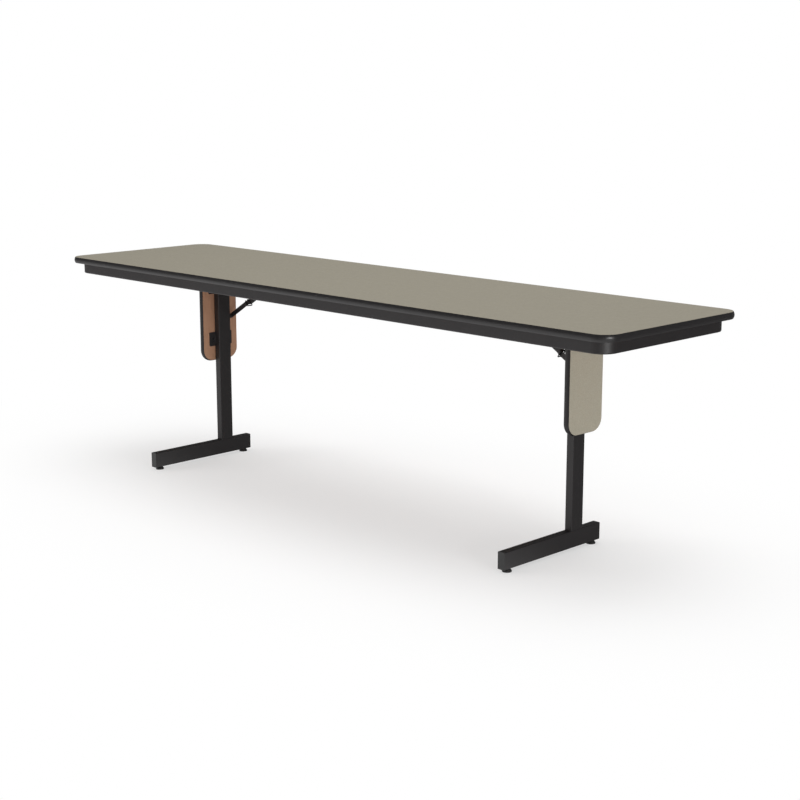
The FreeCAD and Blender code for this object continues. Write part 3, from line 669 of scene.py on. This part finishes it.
apron_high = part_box("apron")[1]
seat = apron_high[2] - APRON_SHEET
row_y, end_x = apron_high[1] - FLANGE_MIDDLE, apron_high[0] - FLANGE_MIDDLE
rows = [(x, sign * row_y, seat) for x in ROW_X for sign in (-1, 1)]
ends = [(sign * end_x, y, seat) for sign in (-1, 1) for y in END_Y]
place_screws("apron_wood_screws", rows + ends, UP, "top")

# %% Bracket screws
BRACKET_SHEET = 0.003
# Of each pair of screws: from the plate's edge, and from its middle.
HINGE_EDGE, HINGE_HALF_GAP = 0.013, 0.024
BRACE_EDGE, BRACE_HALF_GAP = 0.009, 0.014


def screw_pair(box, at_high_edge, edge, half_gap):
    """Two screws through the plate in a bracket's box, near its high or low edge in Y."""
    low, high = box
    y = high[1] - edge if at_high_edge else low[1] + edge
    middle = (low[0] + high[0]) / 2
    return [(middle + sign * half_gap, y, high[2] - BRACKET_SHEET) for sign in (-1, 1)]


bracket_points = []
for side in SIDES:
    for end in ("front", "rear"):
        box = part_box(f"{side}_{end}_hinge_bracket")
        bracket_points += screw_pair(box, end == "front", HINGE_EDGE, HINGE_HALF_GAP)
    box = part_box(f"{side}_brace_bracket")
    bracket_points += screw_pair(box, True, BRACE_EDGE, BRACE_HALF_GAP)
place_screws("bracket_wood_screws", bracket_points, UP, "top")

# %% Panel screws
PLATE_HALF_GAP = 0.034

for side, sign in zip(SIDES, (-1, 1)):
    points = []
    for level in ("upper", "lower"):
        low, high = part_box(f"{side}_{level}_panel_plate")
        x = low[0] if sign > 0 else high[0]
        y, z = (low[1] + high[1]) / 2, (low[2] + high[2]) / 2
        points += [(x, y - PLATE_HALF_GAP, z), (x, y + PLATE_HALF_GAP, z)]
    place_screws(f"{side}_panel_wood_screws", points, (sign, 0, 0), f"{side}_leg", "black_oxide")

# %% [markdown]
# ## Weld beads
#
# The post is welded to the foot and to the pivot tube, and the plates and the brace stud to the
# post, all before the powder coat. A weld is a row of small overlapping ripples in the corner.
# A round tube whose radius pulses along its path reads as one, sunk half into both pieces.

# %% Weld helper
BEAD_SIDES = 8
RIPPLE, CHANCE = 0.16, 0.05  # shares of the radius
RIPPLE_TURN = 1.9  # radians from ring to ring


def weld(name, path, radius, body, closed=False, up=(0, 0, 1)):
    """A rippled bead along 3-D points."""
    maker = bmesh.new()
    rings = []
    total = len(path)
    for k, point in enumerate(path):
        ahead = path[(k + 1) % total] if closed or k + 1 < total else point
        behind = path[k - 1] if closed or k else point
        along = (ahead - behind).normalized()
        side = along.cross(Vector(up)).normalized()
        lift = side.cross(along)
        ripple = RIPPLE * math.sin(k * RIPPLE_TURN)
        size = radius * (1.0 + ripple + random.uniform(-CHANCE, CHANCE))
        angles = [2 * math.pi * j / BEAD_SIDES for j in range(BEAD_SIDES)]
        rings.append([maker.verts.new(point + side * (size * math.cos(angle))
                                      + lift * (size * math.sin(angle))) for angle in angles])
    for k in range(total if closed else total - 1):
        here, there = rings[k], rings[(k + 1) % total]
        for j in range(BEAD_SIDES):
            n = (j + 1) % BEAD_SIDES
            maker.faces.new((here[j], here[n], there[n], there[j]))
    if not closed:
        maker.faces.new(rings[0][::-1])
        maker.faces.new(rings[-1])
    bmesh.ops.recalc_face_normals(maker, faces=maker.faces)
    smoothed(make_object(name, maker, finishes["black_enamel"], body))


print("weld helper ready")

# %% Weld the legs
FOOT_BEAD, PIVOT_BEAD, PLATE_BEAD, STUD_BEAD = 0.0019, 0.0016, 0.0015, 0.0014  # radii
FOOT_STEPS, PIVOT_STEPS, PLATE_STEPS, STUD_STEPS = 24, 30, 28, 44
PLATE_STEP = 0.0012  # between two rings of a plate's bead
FOOT_MARGIN = 0.0015  # from the post's side to the end of the foot's bead
PLATE_MARGIN = 0.008  # from the plate's lower edge to the end of its bead
PLATE_REACH = 0.985  # of the post's half depth, so that the bead sinks into its flank
STUD_LIFT = 0.0002  # from the post's face to the middle of the stud's bead
ENDS = (("front", -1), ("rear", 1))


def arc_points(centre, radius, first, turn, steps):
    """Points on an arc round Y, from a first angle through a turn, both in radians."""
    angles = [first + turn * k / steps for k in range(steps + 1)]
    return [centre + Vector((radius * math.cos(a), 0, radius * math.sin(a))) for a in angles]


def leg_welds(side):
    """The beads of one leg, placed by its CAD boxes."""
    body = f"{side}_leg"
    post_low, post_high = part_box(f"{side}_post")
    x, y = (post_low[0] + post_high[0]) / 2, (post_low[1] + post_high[1]) / 2
    half_x, half_y = (post_high[0] - post_low[0]) / 2, (post_high[1] - post_low[1]) / 2
    foot_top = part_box(f"{side}_foot")[1][2]
    reach = half_x - FOOT_MARGIN
    for end, sign in ENDS:
        centre = Vector((x, y + sign * half_y, foot_top))
        line = [centre + Vector((reach * (2 * t / FOOT_STEPS - 1), 0, 0))
                for t in range(FOOT_STEPS + 1)]
        weld(f"{side}_foot_weld_{end}", line, FOOT_BEAD, body)
    tube_low, tube_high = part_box(f"{side}_pivot_tube")
    tube_z, tube_radius = (tube_low[2] + tube_high[2]) / 2, (tube_high[2] - tube_low[2]) / 2
    for end, sign in ENDS:
        centre = Vector((x, y + sign * half_y, tube_z))
        arc = arc_points(centre, tube_radius, math.pi, math.pi, PIVOT_STEPS)
        weld(f"{side}_pivot_weld_{end}", arc, PIVOT_BEAD, body, up=(0, 1, 0))
    for level in ("upper", "lower"):
        low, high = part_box(f"{side}_{level}_panel_plate")
        face = low[0] if side == "right" else high[0]
        start = low[2] + PLATE_MARGIN
        for end, sign in ENDS:
            line = [Vector((face, y + sign * half_y * PLATE_REACH, start + t * PLATE_STEP))
                    for t in range(PLATE_STEPS + 1)]
            weld(f"{side}_{level}_plate_weld_{end}", line, PLATE_BEAD, body, up=(1, 0, 0))
    low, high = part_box(f"{side}_brace_stud")
    centre = Vector(((low[0] + high[0]) / 2, low[1] + STUD_LIFT, (low[2] + high[2]) / 2))
    ring = arc_points(centre, (high[0] - low[0]) / 2, 0, 2 * math.pi, STUD_STEPS)[:-1]
    weld(f"{side}_stud_weld", ring, STUD_BEAD, body, closed=True, up=(0, 1, 0))


for side in SIDES:
    leg_welds(side)
